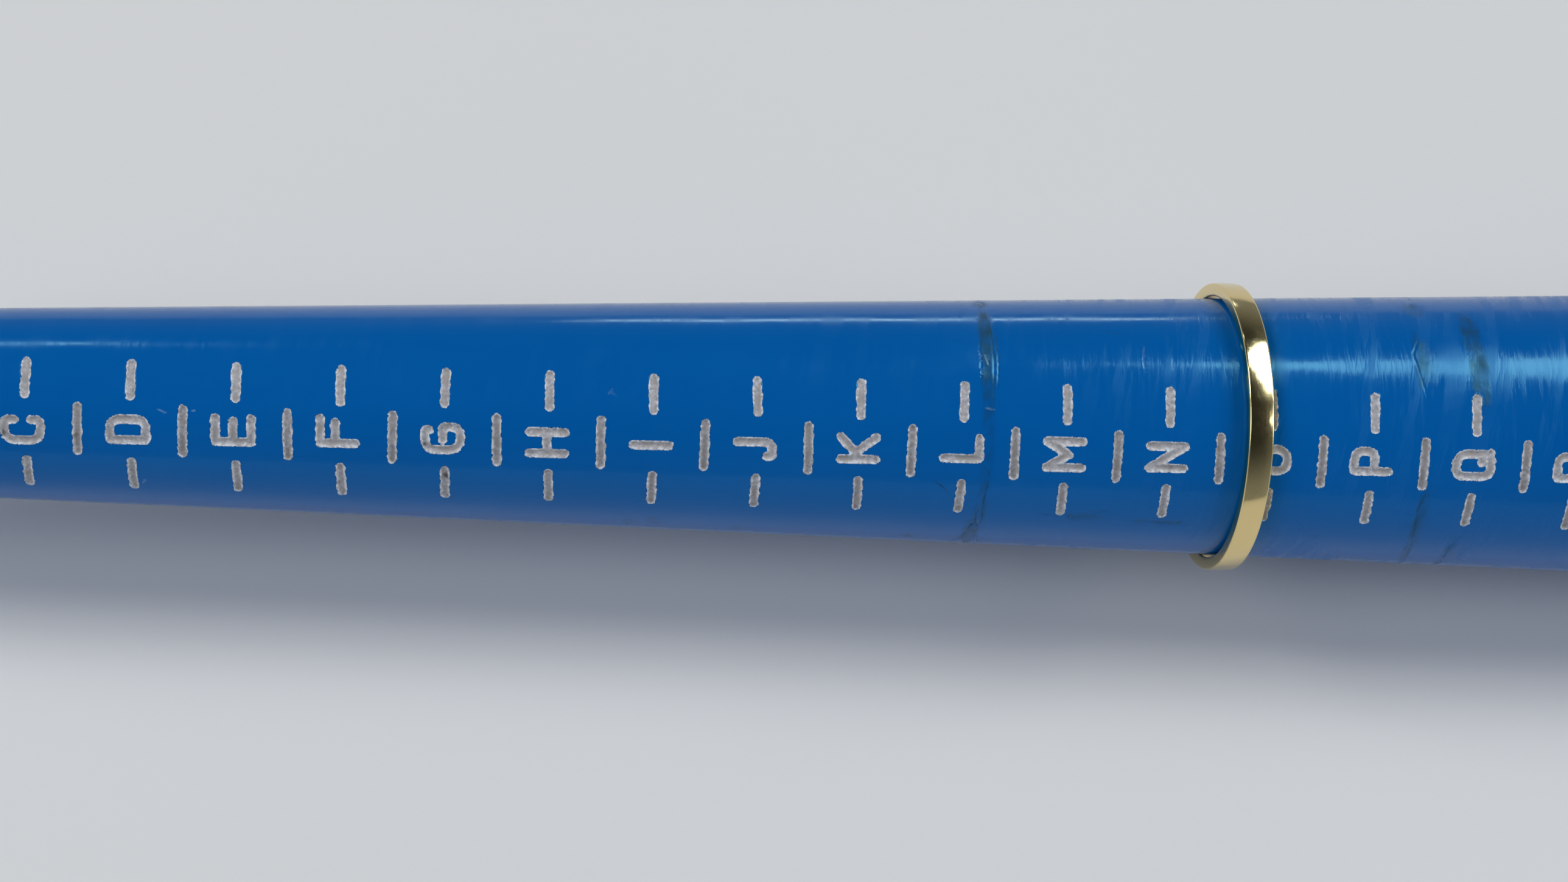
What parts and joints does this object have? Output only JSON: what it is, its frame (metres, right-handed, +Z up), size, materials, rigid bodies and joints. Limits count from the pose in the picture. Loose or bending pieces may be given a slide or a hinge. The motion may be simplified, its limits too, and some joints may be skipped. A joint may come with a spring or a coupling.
{
  "type": "ring mandrel",
  "caption": "Tapered ring sizing stick with engraved size marks, an octagonal collar and grooved grip, and a plain band that slides off over the nose.",
  "frame": {"origin": "on the surface that the mandrel lies on, below the middle of its length", "axes": "+X along the mandrel from the nose to the butt, +Z up; it lies on one flat of its collar and grip, so its axis is level, 15 mm up"},
  "size_m": [0.294, 0.03, 0.03],
  "materials": {
    "gauge_plastic": "glossy moulded plastic with fine turning marks",
    "grip_plastic": "moulded, finely textured",
    "mark_infill": "paint wiped into the engraved marks",
    "aluminium": "turned and brushed",
    "steel": "zinc plated",
    "brass": "turned",
    "gold": "polished gold, worn"
  },
  "bodies": {
    "stick": {"nose_cap": "gauge_plastic", "gauge_tube": "gauge_plastic", "threaded_insert": "brass", "locking_pin": "steel", "anti_roll_collar": "aluminium", "grip_handle": "grip_plastic", "through_bolt": "steel", "bolt_washer": "steel", "bolt_nut": "steel", "butt_cap": "grip_plastic"},
    "band": {"gold_band": "gold"}
  },
  "joints": [
    {"name": "band_slide", "type": "slide", "parent": "stick", "child": "band", "axis": [-1, 0, 0], "range_m": [0, 0.11]}
  ]
}
